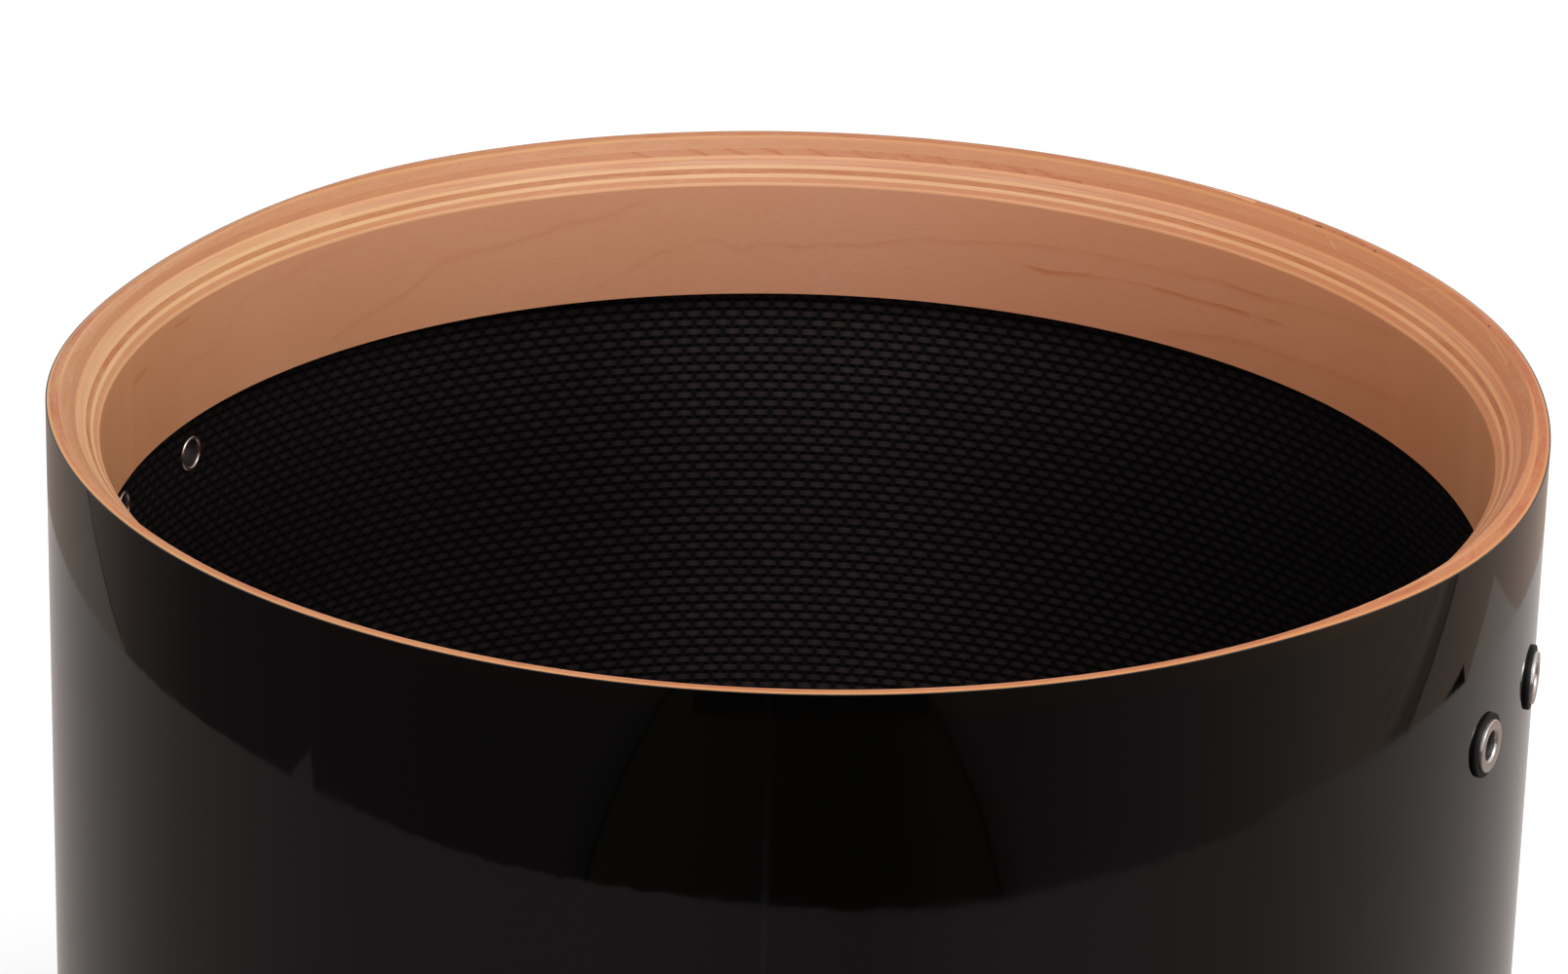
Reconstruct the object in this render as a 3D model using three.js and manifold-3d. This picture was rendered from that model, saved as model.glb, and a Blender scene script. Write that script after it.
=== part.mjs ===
// Bare shell of a marching snare drum, in millimetres.
//
// The drum's axis is Z. The shell stands on its batter-side edge at z = 0, with the snare side up,
// and the two snare beds lie on +X and -X, each above one pair of flanged bushings.
// The shell and its two reinforcement rings are laminated from rolled maple plies, so each ply
// is a tube of its own. Both edges are cut through all of the plies after they are glued.

import * as THREE from 'three';
import { mergeVertices } from 'three/addons/utils/BufferGeometryUtils.js';
import Module from 'manifold-3d';

// Overall size: a 14 inch shell, 12 inches deep.
const outerRadius = 176;
const height = 300;

// Layers, each list from the outermost ply inwards.
const coveringThickness = 0.3;
const shellPlies = [0.62, 2, 0.66, 1.66, 1.36, 0.66];
const ringPlies = [1.01, 0.68, 0.94, 0.71, 0.88, 0.49];
const linerThickness = 0.45;
const glueLine = 0.04;

// Reinforcement rings, measured from the crest of the edge that they stiffen.
const ringHeight = 41.2;
const linerEndGap = 0.3;

// Bearing edges: a small outside roundover, a narrow flat crest and an inside chamfer.
const roundoverWidth = 1.9;
const roundoverDrop = 1.1;
const crestWidth = 0.4;
const chamferAngle = 47.6;

// Snare beds, filed level into the crest and centred on +X and -X.
const bedDepth = 3.35;
const bedHalfAngle = 38;
const bedRunOut = 0.05;

// Two pairs of flanged bushings, with rubber washers under their flanges.
const holeSpacing = 40.5;
const holeBelowRing = 12.3;
const holeClearance = 0.2;
const boreRadius = 3.5;
const tubeWall = 0.6;
const flangeRadius = 6.05;
const flangeThickness = 0.75;
const flangeRounding = 0.4;
const mouthFlare = 1.1;
const curlRadius = 0.25;
const washerRadius = 7.65;
const washerThickness = 0.9;
const washerRounding = 0.3;
const seatGap = 0.05;

// Facets round the shell and round the small fittings.
const shellFacets = 60;
const fittingFacets = 16;

const wasm = await Module();
wasm.setup();

const radians = THREE.MathUtils.degToRad;
const sum = (values) => values.reduce((total, value) => total + value, 0);

// Radii that follow from the layers.
const coveringInner = outerRadius - coveringThickness;
const shellInner = coveringInner - sum(shellPlies) - glueLine * shellPlies.length;
const ringInner = shellInner - sum(ringPlies) - glueLine * ringPlies.length;
const linerOuter = shellInner - glueLine;
const linerInner = linerOuter - linerThickness;

// The crest of both bearing edges.
const crestOuter = outerRadius - roundoverWidth;
const crestInner = crestOuter - crestWidth;

// Flat facets lie inside the circle through their corners.
const facetShrink = Math.cos(Math.PI / shellFacets);
const washerSeat = outerRadius + seatGap;
const flangeSeat = washerSeat + washerThickness + seatGap;
const tubeRadius = boreRadius + tubeWall;
const holeRadius = tubeRadius + holeClearance;
const curlReach = tubeRadius + 1.5 * curlRadius;
const curlSeat = Math.sqrt((linerInner * facetShrink) ** 2 - curlReach ** 2) - seatGap;
const holeHeight = height - ringHeight - holeBelowRing;
const holeAngle = Math.asin(holeSpacing / 2 / outerRadius);

// Stacks plies inwards from a radius, with a glue line outside each of them.
function stackPlies(firstRadius, thicknesses) {
  let outer = firstRadius;
  return thicknesses.map((thickness) => {
    const ply = { outer: outer - glueLine, inner: outer - glueLine - thickness };
    outer = ply.inner;
    return ply;
  });
}

const shellLayers = stackPlies(coveringInner, shellPlies);
const ringLayers = stackPlies(shellInner, ringPlies);

// How far the bearing edge lies below its crest at a radius.
function edgeDrop(radius) {
  if (radius > crestOuter) {
    return roundoverDrop * ((radius - crestOuter) / roundoverWidth) ** 2;
  }
  return Math.max(0, crestInner - radius) * Math.tan(radians(chamferAngle));
}

const snareEdge = (radius) => height - edgeDrop(radius);
const batterEdge = (radius) => edgeDrop(radius);
const squareEnd = (z) => () => z;

// Closed outline of a tube whose ends follow two edge functions, ready to be turned.
function tubeOutline(inner, outer, lowEnd, highEnd) {
  const corners = [crestOuter, crestInner].filter((radius) => radius > inner && radius < outer);
  const radii = [outer, ...corners, inner];
  const high = radii.map((radius) => new THREE.Vector2(radius, highEnd(radius)));
  const low = radii.reverse().map((radius) => new THREE.Vector2(radius, lowEnd(radius)));
  return [...high, ...low, high[0]];
}

// Turned solid on the drum's axis, with flat facets centred on +X and -X.
function turnOnAxis(outline) {
  const geometry = new THREE.LatheGeometry(outline, shellFacets, Math.PI / shellFacets);
  return geometry.rotateX(Math.PI / 2);
}

// Share of the bed's depth at an angle from the X axis: a smooth dip that fades out to both sides.
function bedShare(angle) {
  const offset = Math.min(1, angle / radians(bedHalfAngle));
  return Math.cos((offset * Math.PI) / 2) ** 2;
}

function toManifold(geometry) {
  const bare = geometry.clone();
  bare.deleteAttribute('normal');
  bare.deleteAttribute('uv');
  const merged = mergeVertices(bare);
  return new wasm.Manifold(new wasm.Mesh({
    numProp: 3,
    vertProperties: merged.attributes.position.array,
    triVerts: new Uint32Array(merged.index.array),
  }));
}

function fromManifold(solid) {
  const mesh = solid.getMesh();
  const geometry = new THREE.BufferGeometry();
  geometry.setAttribute('position', new THREE.BufferAttribute(mesh.vertProperties, 3));
  geometry.setIndex(new THREE.BufferAttribute(mesh.triVerts, 1));
  geometry.computeVertexNormals();
  return geometry;
}

// Cutter whose underside dips into both snare beds and passes clear of the crest elsewhere.
// It takes the crest down with its roundover and leaves the foot of the chamfer as it is. Its depth
// grows with the radius, which keeps each facet flat and lets the bed fall a little to the outside.
function snareBedCutter() {
  const seams = [coveringInner, ...shellLayers.map(({ inner }) => inner)];
  const roundover = seams.filter((radius) => radius > crestOuter).reverse();
  const radii = [ringInner, crestOuter, ...roundover, outerRadius, outerRadius + 1];
  const under = radii.map((radius) => new THREE.Vector2(radius, snareEdge(Math.max(radius, crestOuter))));
  const top = radii.reverse().map((radius) => new THREE.Vector2(radius, height + bedDepth));
  const geometry = turnOnAxis([...under, ...top, under[0]]);
  const position = geometry.attributes.position;
  for (let i = 0; i < position.count; i++) {
    const [x, y, z] = [position.getX(i), position.getY(i), position.getZ(i)];
    if (z > height) continue;
    const lean = Math.hypot(x, y) / crestInner;
    const depth = (bedDepth + bedRunOut) * bedShare(Math.atan2(Math.abs(y), Math.abs(x)));
    position.setZ(i, z + bedRunOut - depth * lean);
  }
  return geometry;
}

// Directions of the four bushings round the drum's axis.
const fastenings = [
  { name: 'strainer_side_1', angle: -holeAngle },
  { name: 'strainer_side_2', angle: holeAngle },
  { name: 'butt_side_1', angle: Math.PI - holeAngle },
  { name: 'butt_side_2', angle: Math.PI + holeAngle },
];

// Round cutter through the wall at one fastening.
function holeCutter(angle) {
  const length = 2 * (outerRadius - ringInner);
  const cutter = new THREE.CylinderGeometry(holeRadius, holeRadius, length, fittingFacets);
  cutter.translate(0, (outerRadius + ringInner) / 2, 0);
  cutter.rotateZ(angle - Math.PI / 2);
  return cutter.translate(0, 0, holeHeight);
}

const holeCutters = fastenings.map(({ angle }) => holeCutter(angle));

function cut(geometry, cutters) {
  const solid = cutters.reduce((rest, cutter) => rest.subtract(toManifold(cutter)), toManifold(geometry));
  return fromManifold(solid);
}

// Outlines of the fittings: x is the distance from the bore's axis, y from the drum's axis.
function washerOutline() {
  const high = washerSeat + washerThickness;
  const rim = washerRadius - washerRounding;
  return outline([
    [washerRadius, washerSeat], [washerRadius, high - washerRounding],
    [rim, high], [holeRadius, high], [holeRadius, washerSeat],
  ]);
}

// Flat flange with a flared mouth outside, tube through the wall, and a lip curled over the liner.
function bushingOutline() {
  const face = flangeSeat + flangeThickness;
  const curl = curlSeat - curlRadius;
  return outline([
    [flangeRadius, flangeSeat], [flangeRadius, face - flangeRounding],
    [flangeRadius - flangeRounding, face], [boreRadius + mouthFlare, face],
    [boreRadius + 0.3 * mouthFlare, face - 0.3 * mouthFlare], [boreRadius, face - mouthFlare],
    [boreRadius, curl], [boreRadius + 0.5 * curlRadius, curl - curlRadius],
    [tubeRadius + 0.5 * curlRadius, curl - curlRadius], [curlReach, curl],
    [tubeRadius + 1.2 * curlRadius, curlSeat], [tubeRadius, curlSeat], [tubeRadius, flangeSeat],
  ]);
}

function outline(pairs) {
  const points = pairs.map(([x, y]) => new THREE.Vector2(x, y));
  return [...points, points[0]];
}

const turnFitting = (points) => new THREE.LatheGeometry(points, fittingFacets);

// Finishes. Neighbouring plies alternate between long grain and cross grain.
const finish = (color, roughness, metalness = 0) => ({ color, roughness, metalness });
const finishes = {
  covering: finish(0x0b0b0c, 0.12),
  light: finish(0xdb9e6e, 0.55),
  red: finish(0xb9744e, 0.6),
  pink: finish(0xb87c5b, 0.6),
  tan: finish(0xbf8763, 0.6),
  liner: finish(0x141313, 0.45),
  steel: finish(0xb9b4b0, 0.3, 1),
  rubber: finish(0x161615, 0.8),
};
const shellPlyFinishes = ['light', 'red', 'light', 'pink', 'pink', 'light'];
const ringPlyFinishes = ['pink', 'light', 'red', 'light', 'tan', 'light'];

function addPiece(group, name, geometry, finishName) {
  const mesh = new THREE.Mesh(geometry, new THREE.MeshStandardMaterial(finishes[finishName]));
  mesh.name = name;
  group.add(mesh);
  return mesh;
}

const bedCutter = snareBedCutter();
const shellWall = (inner, outer) => cut(
  turnOnAxis(tubeOutline(inner, outer, batterEdge, snareEdge)),
  [bedCutter, ...holeCutters],
);

const drum = new THREE.Group();

const shell = new THREE.Group();
addPiece(shell, 'outer_covering', shellWall(coveringInner, outerRadius), 'covering');
shellLayers.forEach(({ inner, outer }, i) => {
  addPiece(shell, `shell_ply_${i + 1}`, shellWall(inner, outer), shellPlyFinishes[i]);
});
const linerEnd = ringHeight + linerEndGap;
const linerOutline = tubeOutline(linerInner, linerOuter, squareEnd(linerEnd), squareEnd(height - linerEnd));
addPiece(shell, 'inner_liner', cut(turnOnAxis(linerOutline), holeCutters), 'liner');
drum.add(shell);

const rings = new THREE.Group();
ringLayers.forEach(({ inner, outer }, i) => {
  const snareOutline = tubeOutline(inner, outer, squareEnd(height - ringHeight), snareEdge);
  const snarePly = cut(turnOnAxis(snareOutline), [bedCutter]);
  addPiece(rings, `snare_ring_ply_${i + 1}`, snarePly, ringPlyFinishes[i]);
  const batterOutline = tubeOutline(inner, outer, batterEdge, squareEnd(ringHeight));
  addPiece(rings, `batter_ring_ply_${i + 1}`, turnOnAxis(batterOutline), ringPlyFinishes[i]);
});
drum.add(rings);

const fittings = new THREE.Group();
for (const { name, angle } of fastenings) {
  const fitting = new THREE.Group();
  addPiece(fitting, `${name}_bushing`, turnFitting(bushingOutline()), 'steel');
  addPiece(fitting, `${name}_washer`, turnFitting(washerOutline()), 'rubber');
  fitting.position.z = holeHeight;
  fitting.rotation.z = angle - Math.PI / 2;
  fittings.add(fitting);
}
drum.add(fittings);

export default drum;
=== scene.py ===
"""Bare shell of a marching snare drum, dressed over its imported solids."""
import math

import bpy
from bpy.props import (FloatProperty, FloatVectorProperty, IntProperty, PointerProperty)
from bpy.types import Operator, Panel, PropertyGroup
from mathutils import Euler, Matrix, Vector


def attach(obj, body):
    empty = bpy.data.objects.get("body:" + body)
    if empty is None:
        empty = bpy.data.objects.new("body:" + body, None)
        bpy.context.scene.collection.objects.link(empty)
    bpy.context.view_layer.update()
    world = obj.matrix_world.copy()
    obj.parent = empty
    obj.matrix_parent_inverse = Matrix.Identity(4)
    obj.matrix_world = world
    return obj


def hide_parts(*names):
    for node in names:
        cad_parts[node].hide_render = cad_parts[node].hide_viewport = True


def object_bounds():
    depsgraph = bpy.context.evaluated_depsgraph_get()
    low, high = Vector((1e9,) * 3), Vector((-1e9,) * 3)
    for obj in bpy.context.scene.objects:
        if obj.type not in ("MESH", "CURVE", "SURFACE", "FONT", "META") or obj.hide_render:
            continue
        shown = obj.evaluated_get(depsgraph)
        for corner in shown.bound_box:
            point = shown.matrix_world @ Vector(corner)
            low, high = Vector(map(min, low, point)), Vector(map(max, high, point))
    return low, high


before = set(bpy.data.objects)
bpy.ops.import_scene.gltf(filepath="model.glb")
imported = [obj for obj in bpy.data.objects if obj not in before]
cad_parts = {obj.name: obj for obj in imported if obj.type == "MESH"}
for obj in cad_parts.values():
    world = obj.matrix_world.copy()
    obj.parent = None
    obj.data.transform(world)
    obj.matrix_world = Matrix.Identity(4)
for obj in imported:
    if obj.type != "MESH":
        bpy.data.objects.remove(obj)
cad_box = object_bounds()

bl_info = {
    "name": "Laminated Snare Drum Shell",
    "version": (1, 0, 0),
    "blender": (4, 5, 0),
    "location": "View3D > Sidebar > Drum Shell",
    "description": "Lays up a snare drum shell with rings, bearing edges, snare beds and bushings",
    "category": "Add Mesh",
}

MM = 0.001
FULL_TURN = 2 * math.pi

# The covering's joint. Distances round the wall are read from the point opposite to it.
SEAM_ANGLE = math.radians(-71.81)

# Bushing pairs: 0 is the strainer side on +X, 1 the butt plate side on -X.
FASTENINGS = (("strainer_side_1", 0, -1), ("strainer_side_2", 0, 1),
              ("butt_side_1", 1, -1), ("butt_side_2", 1, 1))

SHELL_FINISHES = ("outermost", "red", "pale", "pink", "routed", "blond")
RING_FINISHES = ("rose", "light", "red", "light", "tan", "face")

# The edge profile: fall of the land outside the crest, where the chamfer starts below the crest,
# how far down the chamfer the crest's rounding reaches, its facets, and the ring's eased corner.
LAND_SLOPE = math.radians(13.7)
CHAMFER_START = 0.10 * MM
ROUNDING_REACH = 1.34 * MM
CREST_FACETS = 8
CORNER_EASE = 0.12 * MM

# Distance between the radii at which a bed can end on the chamfer.
BED_STEP = 0.15 * MM

# The middle of the wall at a bore, the length of the drill, and level edges that fence the bores.
DRILL_DEPTH = 4 * MM
DRILL_LENGTH = 30 * MM
BORE_FENCE = 12 * MM
LINER_FENCE = 10 * MM
LINER_ROWS = (120 * MM, 190 * MM)

# How deep a washer reaches into the round of the wall before it is hollowed.
WASHER_SINK = 0.25 * MM

# The camera before it is turned about the drum: its place, and its tilt, roll and pan.
CAMERA_PLACE = (0, -1.429157, 0.87142)
CAMERA_ANGLES = [math.radians(angle) for angle in (67.264459, -1.354641, 0.683871)]

# Lamps before they are turned about the drum: place, size and share of the key lamp's power.
LAMP_AIM = Vector((0, 0, 0.25))
LAMPS = {"key_lamp": ((1.05, -1.25, 2.1), 1.5, 1.0), "side_lamp": ((-1.5, -0.9, 1.7), 1.3, 0.30)}


# ---------------------------------------------------------------- sizes and colours

def length(name, description, default):
    return FloatProperty(name=name, description=description, default=default * MM,
                         unit="LENGTH", precision=5)


def angle(name, description, default):
    return FloatProperty(name=name, description=description, default=math.radians(default),
                         subtype="ANGLE")


def colour(name, description, default):
    return FloatVectorProperty(name=name, description=description, default=default,
                               subtype="COLOR", size=3, min=0, max=1)


def plies(name, description, default):
    return FloatVectorProperty(name=name, description=description, size=6,
                               default=[thickness * MM for thickness in default],
                               unit="LENGTH", precision=5)


class DrumShellSizes(PropertyGroup):
    """Sizes of the shell, its rings and its edges"""
    outer_radius: length("Outer Radius", "Radius over the gloss covering", 176)
    height: FloatProperty(name="Height", description="Height over both bearing edges",
                          default=cad_box[1].z - cad_box[0].z, unit="LENGTH", precision=5)
    covering: length("Covering", "Thickness of the gloss covering", 0.3)
    shell_plies: plies("Shell Plies", "Thickness of each shell ply, outermost first",
                       (0.66, 2.04, 0.70, 1.70, 1.40, 0.70))
    ring_plies: plies("Ring Plies", "Thickness of each ring ply, outermost first",
                      (1.05, 0.72, 0.98, 0.75, 0.92, 0.53))
    ring_height: length("Ring Height", "Height of a reinforcement ring below the crest", 41.2)
    liner: length("Liner", "Thickness of the woven liner", 0.49)
    liner_gap: length("Liner Gap", "Gap between the liner and a ring", 0.3)
    roundover_width: length("Roundover Width", "Radial width of the outer roundover", 1.9)
    roundover_drop: length("Roundover Drop", "How far the roundover falls at the covering", 0.8)
    crest: length("Crest", "Width of the crest before it is rounded", 0.4)
    crest_round: length("Crest Rounding", "Radius to which the crest is sanded", 2.0)
    chamfer_angle: angle("Chamfer", "Slope of the inner chamfer", 47.6)
    bed_depth: length("Snare Bed Depth", "How far the crest is filed down in a snare bed", 3.35)
    bed_half_angle: angle("Snare Bed Reach", "Half of the angle that a snare bed takes up", 38)
    steps: IntProperty(name="Steps", description="Faces round the shell", default=240, min=60)


class DrumFittingSizes(PropertyGroup):
    """Sizes of the bushings and their washers"""
    height: length("Height", "Height of the bores above the batter edge", 246.5)
    spacing: length("Spacing", "Distance between the two bores of a pair", 40.5)
    bore: length("Bore Radius", "Radius of the bore", 3.5)
    wall: length("Tube Wall", "Thickness of the bushing's tube", 0.6)
    clearance: length("Clearance", "Gap between the tube and its hole", 0.2)
    flange: length("Flange Radius", "Radius of the flange", 6.2)
    flange_thickness: length("Flange Thickness", "Thickness of the flange", 0.8)
    flange_round: length("Flange Rounding", "Rounding of the flange's rim", 0.25)
    flare: length("Mouth Flare", "Radius of the flare from the flange into the bore", 0.75)
    lip_reach: length("Lip Reach", "How far the inner lip is rolled out over the liner", 0.40)
    lip_rise: length("Lip Rise", "How far the inner lip stands off the liner", 0.53)
    washer: length("Washer Radius", "Radius of the rubber washer", 7.66)
    washer_thickness: length("Washer Thickness", "Thickness of the rubber washer", 0.84)
    washer_round: length("Washer Rounding", "Rounding of the washer's rim", 0.3)


class DrumFinishes(PropertyGroup):
    """Colours of the veneers, the liner, the covering and the fittings"""
    light: colour("Light Veneer", "Long-grain maple", (0.80, 0.47, 0.265))
    pale: colour("Pale Veneer", "Thin long-grain maple", (0.69, 0.341, 0.155))
    red: colour("Red Veneer", "Cross-grain maple", (0.565, 0.247, 0.115))
    pink: colour("Pink Veneer", "Thick cross-grain core", (0.595, 0.272, 0.147))
    tan: colour("Tan Veneer", "Cross-grain ply of the ring", (0.614, 0.262, 0.137))
    rose: colour("Rose Veneer", "Outermost ply of the ring", (0.69, 0.371, 0.228))
    face: colour("Ring Face", "Inner face of the ring", (0.64, 0.29, 0.175))
    blond: colour("Blond Veneer", "Long-grain plies next to the ring's face", (0.77, 0.40, 0.210))
    routed: colour("Inner Core Veneer", "Cross-grain ply next to the ring", (0.534, 0.207, 0.106))
    grain: colour("Grain Lines", "Growth lines on the faces", (0.44, 0.120, 0.048))
    heart: colour("Mineral Streaks", "Brown streaks on the ring's face", (0.52, 0.165, 0.065))
    covering: colour("Covering", "Gloss black covering", (0.0009, 0.0008, 0.0007))
    # The weft is given a lighter colour than the warp as painted sheen of its tows.
    weft: colour("Weft", "Tows that run round the liner", (0.0420, 0.0265, 0.0298))
    warp: colour("Warp", "Tows that run up the liner", (0.0078, 0.0062, 0.0070))
    steel: colour("Steel", "Plated bushings", (0.60, 0.555, 0.535))
    rubber: colour("Rubber", "Washers", (0.0055, 0.0050, 0.0052))


class DrumStage(PropertyGroup):
    """Floor, light and camera"""
    floor: colour("Floor", "Pale studio floor", (0.80, 0.80, 0.80))
    turn: angle("Turn", "How far the camera and lamps are turned about the drum", 19.64)
    sky: FloatProperty(name="Sky", description="Strength of the even light all round",
                       default=0.52, min=0)
    key: FloatProperty(name="Key Lamp", description="Power of the large lamp in front",
                       default=40, min=0, subtype="POWER")
    lens: FloatProperty(name="Lens", description="Focal length of the camera",
                        default=0.1504696, unit="LENGTH")


# ---------------------------------------------------------------- modelling by hand

def start_clean():
    if bpy.context.mode != "OBJECT":
        bpy.ops.object.mode_set(mode="OBJECT")
    bpy.ops.object.select_all(action="DESELECT")


def edit_all():
    bpy.ops.object.mode_set(mode="EDIT")
    bpy.ops.mesh.select_all(action="SELECT")


def apply_place():
    bpy.ops.object.transform_apply(location=True, rotation=True, scale=True)


def only(piece):
    start_clean()
    piece.select_set(True)
    bpy.context.view_layer.objects.active = piece


def weld():
    bpy.ops.mesh.select_all(action="SELECT")
    bpy.ops.mesh.remove_doubles(threshold=2e-6)
    bpy.ops.mesh.normals_make_consistent(inside=False)


def section_sheet(name, inner, outer, low, high):
    """Upright rectangle: the uncut section of one layer of the wall."""
    start_clean()
    bpy.ops.mesh.primitive_plane_add(size=1, location=((inner + outer) / 2, 0, (low + high) / 2),
                                     rotation=(math.pi / 2, 0, 0))
    sheet = bpy.context.object
    sheet.name = sheet.data.name = name
    sheet.scale = (outer - inner, high - low, 1)
    apply_place()
    return sheet


def shell_inside(sizes):
    """Radius inside the innermost shell ply."""
    return sizes.outer_radius - sizes.covering - sum(sizes.shell_plies)


def edge_cuts(sizes):
    """Planes that cut the edge profile, as point and normal with the crest at height 0."""
    crest_outer = sizes.outer_radius - sizes.roundover_width
    crest_inner = crest_outer - sizes.crest
    ring_inner = shell_inside(sizes) - sum(sizes.ring_plies)
    tilt, rounding = sizes.chamfer_angle, sizes.crest_round
    centre = (crest_inner - ROUNDING_REACH * math.cos(tilt) + rounding * math.sin(tilt),
              -CHAMFER_START - ROUNDING_REACH * math.sin(tilt) - rounding * math.cos(tilt))
    cuts = [(sizes.outer_radius, -sizes.roundover_drop, math.sin(LAND_SLOPE),
             math.cos(LAND_SLOPE)),
            (crest_inner, -CHAMFER_START, -math.sin(tilt), math.cos(tilt))]
    for step in range(1, CREST_FACETS):
        way = LAND_SLOPE - (LAND_SLOPE + tilt) * step / CREST_FACETS
        cuts.append((centre[0] + rounding * math.sin(way), centre[1] + rounding * math.cos(way),
                     math.sin(way), math.cos(way)))
    fall = (crest_inner - ring_inner) * math.tan(tilt) + CHAMFER_START
    half = (tilt + math.pi / 2) / 2
    cuts.append((ring_inner + CORNER_EASE * math.sin(half), -fall - CORNER_EASE * math.cos(half),
                 -math.sin(half), math.cos(half)))
    return cuts


def cut_profile(sheet, level, upwards, cuts):
    """Cuts one end of a section along the edge profile."""
    only(sheet)
    way = 1 if upwards else -1
    for radius, height, across, up in cuts:
        point = Vector((radius, 0, level + way * height))
        normal = Vector((across, 0, way * up)).normalized()
        if all((v.co - point).dot(normal) < 1e-7 for v in sheet.data.vertices):
            continue
        edit_all()
        bpy.ops.mesh.bisect(plane_co=point, plane_no=normal, clear_outer=True, threshold=1e-7)
        bpy.ops.object.mode_set(mode="OBJECT")


def turn_round(sheet, steps, splits=()):
    """Spins a section once round the drum's axis, its ends split at some radii."""
    only(sheet)
    edit_all()
    bpy.ops.mesh.delete(type="ONLY_FACE")
    for radius in splits:
        bpy.ops.mesh.select_all(action="SELECT")
        bpy.ops.mesh.bisect(plane_co=(radius, 0, 0), plane_no=(1, 0, 0), threshold=1e-6)
    bpy.ops.mesh.select_all(action="SELECT")
    bpy.ops.mesh.spin(steps=steps, angle=FULL_TURN, center=(0, 0, 0), axis=(0, 0, 1))
    weld()
    bpy.ops.object.mode_set(mode="OBJECT")


def add_rows(tube, heights):
    """Puts level rows of edges round a tube."""
    only(tube)
    for height in heights:
        edit_all()
        bpy.ops.mesh.bisect(plane_co=(0, 0, height), plane_no=(0, 0, 1), threshold=1e-6)
        bpy.ops.object.mode_set(mode="OBJECT")


def bed_splits(sizes):
    """Radii at which the chamfer is split, so that a bed's flat can end anywhere on it."""
    start = sizes.outer_radius - 0.8 * sizes.roundover_width
    reach = sizes.roundover_width + 1.1 * sizes.bed_depth / math.tan(sizes.chamfer_angle)
    return [start - BED_STEP * count for count in range(1, int(reach / BED_STEP) + 1)]


def file_snare_beds(tube, sizes):
    """Files the crest level down into two beds, with the outer corner eased."""
    crest_inner = sizes.outer_radius - sizes.roundover_width - sizes.crest
    edge_zone = sizes.height - sizes.ring_height / 2
    deepest = sizes.bed_depth * sizes.outer_radius / crest_inner
    beds = tube.vertex_groups.new(name="snare_beds")
    for vertex in tube.data.vertices:
        x, y, z = vertex.co
        offset = math.atan2(abs(y), abs(x)) / sizes.bed_half_angle
        if z < edge_zone or offset >= 1:
            continue
        radius = math.hypot(x, y)
        bed = sizes.bed_depth * math.cos(offset * math.pi / 2) ** 2 * radius / crest_inner
        outward = min(1, max(0, (radius - crest_inner) / sizes.roundover_width))
        spared = (sizes.height - z) * (1 - outward)
        if bed > spared:
            beds.add([vertex.index], (bed - spared) / deepest, "REPLACE")
    only(tube)
    lower = tube.modifiers.new("snare_beds", "DISPLACE")
    lower.direction = "Z"
    lower.mid_level = 0
    lower.strength = -deepest
    lower.vertex_group = beds.name
    bpy.ops.object.modifier_apply(modifier=lower.name)
    tube.vertex_groups.clear()


def bore_angles(fittings, outer_radius):
    offset = math.asin(fittings.spacing / 2 / outer_radius)
    return {name: half * math.pi + side * offset for name, half, side in FASTENINGS}


def drill(tube, sizes, fittings):
    """Bores the four bushing holes."""
    start_clean()
    drills = []
    middle = sizes.outer_radius - DRILL_DEPTH
    for turn in bore_angles(fittings, sizes.outer_radius).values():
        bpy.ops.mesh.primitive_cylinder_add(
            vertices=48, radius=fittings.bore + fittings.wall + fittings.clearance,
            depth=DRILL_LENGTH,
            location=(middle * math.cos(turn), middle * math.sin(turn), fittings.height),
            rotation=(0, math.pi / 2, turn))
        drills.append(bpy.context.object)
    for one in drills:
        one.select_set(True)
    bpy.ops.object.join()
    cutter = bpy.context.object
    apply_place()
    only(tube)
    bore = tube.modifiers.new("bores", "BOOLEAN")
    bore.operation = "DIFFERENCE"
    bore.solver = "EXACT"
    bore.object = cutter
    bpy.ops.object.modifier_apply(modifier=bore.name)
    bpy.data.objects.remove(cutter)
    only(tube)
    edit_all()
    weld()
    bpy.ops.object.mode_set(mode="OBJECT")


def smooth(piece, degrees=28):
    only(piece)
    bpy.ops.object.shade_smooth_by_angle(angle=math.radians(degrees))


def ease_corners(piece, width, segments=2, degrees=35):
    only(piece)
    bevel = piece.modifiers.new("eased_corners", "BEVEL")
    bevel.width = width
    bevel.segments = segments
    bevel.limit_method = "ANGLE"
    bevel.angle_limit = math.radians(degrees)
    bpy.ops.object.modifier_apply(modifier=bevel.name)


def draw_fitting(name, outline, segments=72):
    """Extrudes a ring of edges along an outline of (radius, height) about the X axis."""
    start_clean()
    radius, height = outline[0]
    bpy.ops.mesh.primitive_circle_add(vertices=segments, radius=radius, location=(height, 0, 0),
                                      rotation=(0, math.pi / 2, 0))
    fitting = bpy.context.object
    fitting.name = fitting.data.name = name
    apply_place()
    edit_all()
    for next_radius, next_height in [*outline[1:], outline[0]]:
        bpy.ops.mesh.extrude_edges_move(
            TRANSFORM_OT_translate={"value": (next_height - height, 0, 0)})
        share = next_radius / radius
        bpy.ops.transform.resize(value=(1, share, share), center_override=(next_height, 0, 0))
        radius, height = next_radius, next_height
    weld()
    bpy.ops.object.mode_set(mode="OBJECT")
    return fitting


def arc(centre, reach, start, end, steps):
    """Points on part of an ellipse in an outline, with angles in degrees from the radial way."""
    angles = (math.radians(start + (end - start) * step / steps) for step in range(steps + 1))
    return [(centre[0] + reach[0] * math.cos(a), centre[1] + reach[1] * math.sin(a))
            for a in angles]


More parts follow.
